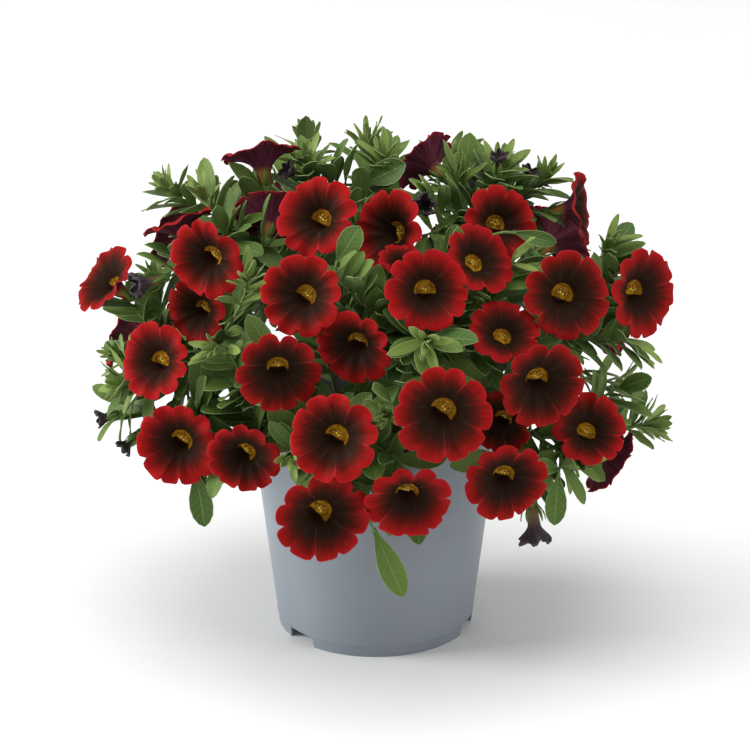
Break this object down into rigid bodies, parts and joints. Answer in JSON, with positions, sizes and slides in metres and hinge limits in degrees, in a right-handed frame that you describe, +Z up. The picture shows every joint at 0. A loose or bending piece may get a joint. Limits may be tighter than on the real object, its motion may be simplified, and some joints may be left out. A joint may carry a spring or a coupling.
{
  "type": "calibrachoa in a nursery pot",
  "caption": "A mounded flowering plant in a plain tapered plastic pot, with narrow green leaves and lobed red trumpet flowers that have dark centres and yellow throats",
  "frame": {"origin": "the centre of the pot's foot, on the surface that the pot stands on", "axes": "+Z is up, along the pot's axis. -Y is the front of the plant and +X is to its right."},
  "size_m": [0.2799, 0.2592, 0.2486],
  "materials": {
    "pot": "satin",
    "soil": "matte",
    "leaf": "satin",
    "petal": "matte",
    "withered_petal": "matte"
  },
  "bodies": {
    "root": {"pot": "pot", "soil": "soil", "leafy_stem_01": "leaf", "leafy_stem_02": "leaf", "leafy_stem_03": "leaf", "leafy_stem_04": "leaf", "leafy_stem_05": "leaf", "leafy_stem_06": "leaf", "leafy_stem_07": "leaf", "leafy_stem_08": "leaf", "leafy_stem_09": "leaf", "leafy_stem_10": "leaf", "leafy_stem_11": "leaf", "leafy_stem_12": "leaf", "leafy_stem_13": "leaf", "bloom_01": "petal", "bloom_02": "petal", "bloom_03": "petal", "bloom_04": "petal", "bloom_05": "petal", "bloom_06": "petal", "bloom_07": "petal", "bloom_08": "petal", "bloom_09": "petal", "bloom_10": "petal", "bloom_11": "petal", "bloom_12": "petal", "bloom_13": "petal", "bloom_14": "petal", "bloom_15": "petal", "bloom_16": "petal", "bloom_17": "petal", "bloom_18": "petal", "bloom_19": "petal", "bloom_20": "petal", "bloom_21": "petal", "bloom_22": "petal", "bloom_23": "petal", "bloom_24": "petal", "bloom_25": "petal", "bloom_26": "petal", "bloom_27": "petal", "bloom_28": "petal", "bloom_29": "petal", "bloom_30": "petal", "bloom_31": "petal", "bloom_32": "petal", "bloom_33": "petal", "bloom_34": "petal", "bloom_35": "petal", "bloom_36": "petal", "bloom_37": "petal", "bloom_38": "petal", "bloom_39": "petal", "bloom_40": "petal", "bloom_41": "petal", "withered_01": "withered_petal", "withered_02": "withered_petal", "withered_03": "withered_petal"}
  },
  "joints": []
}
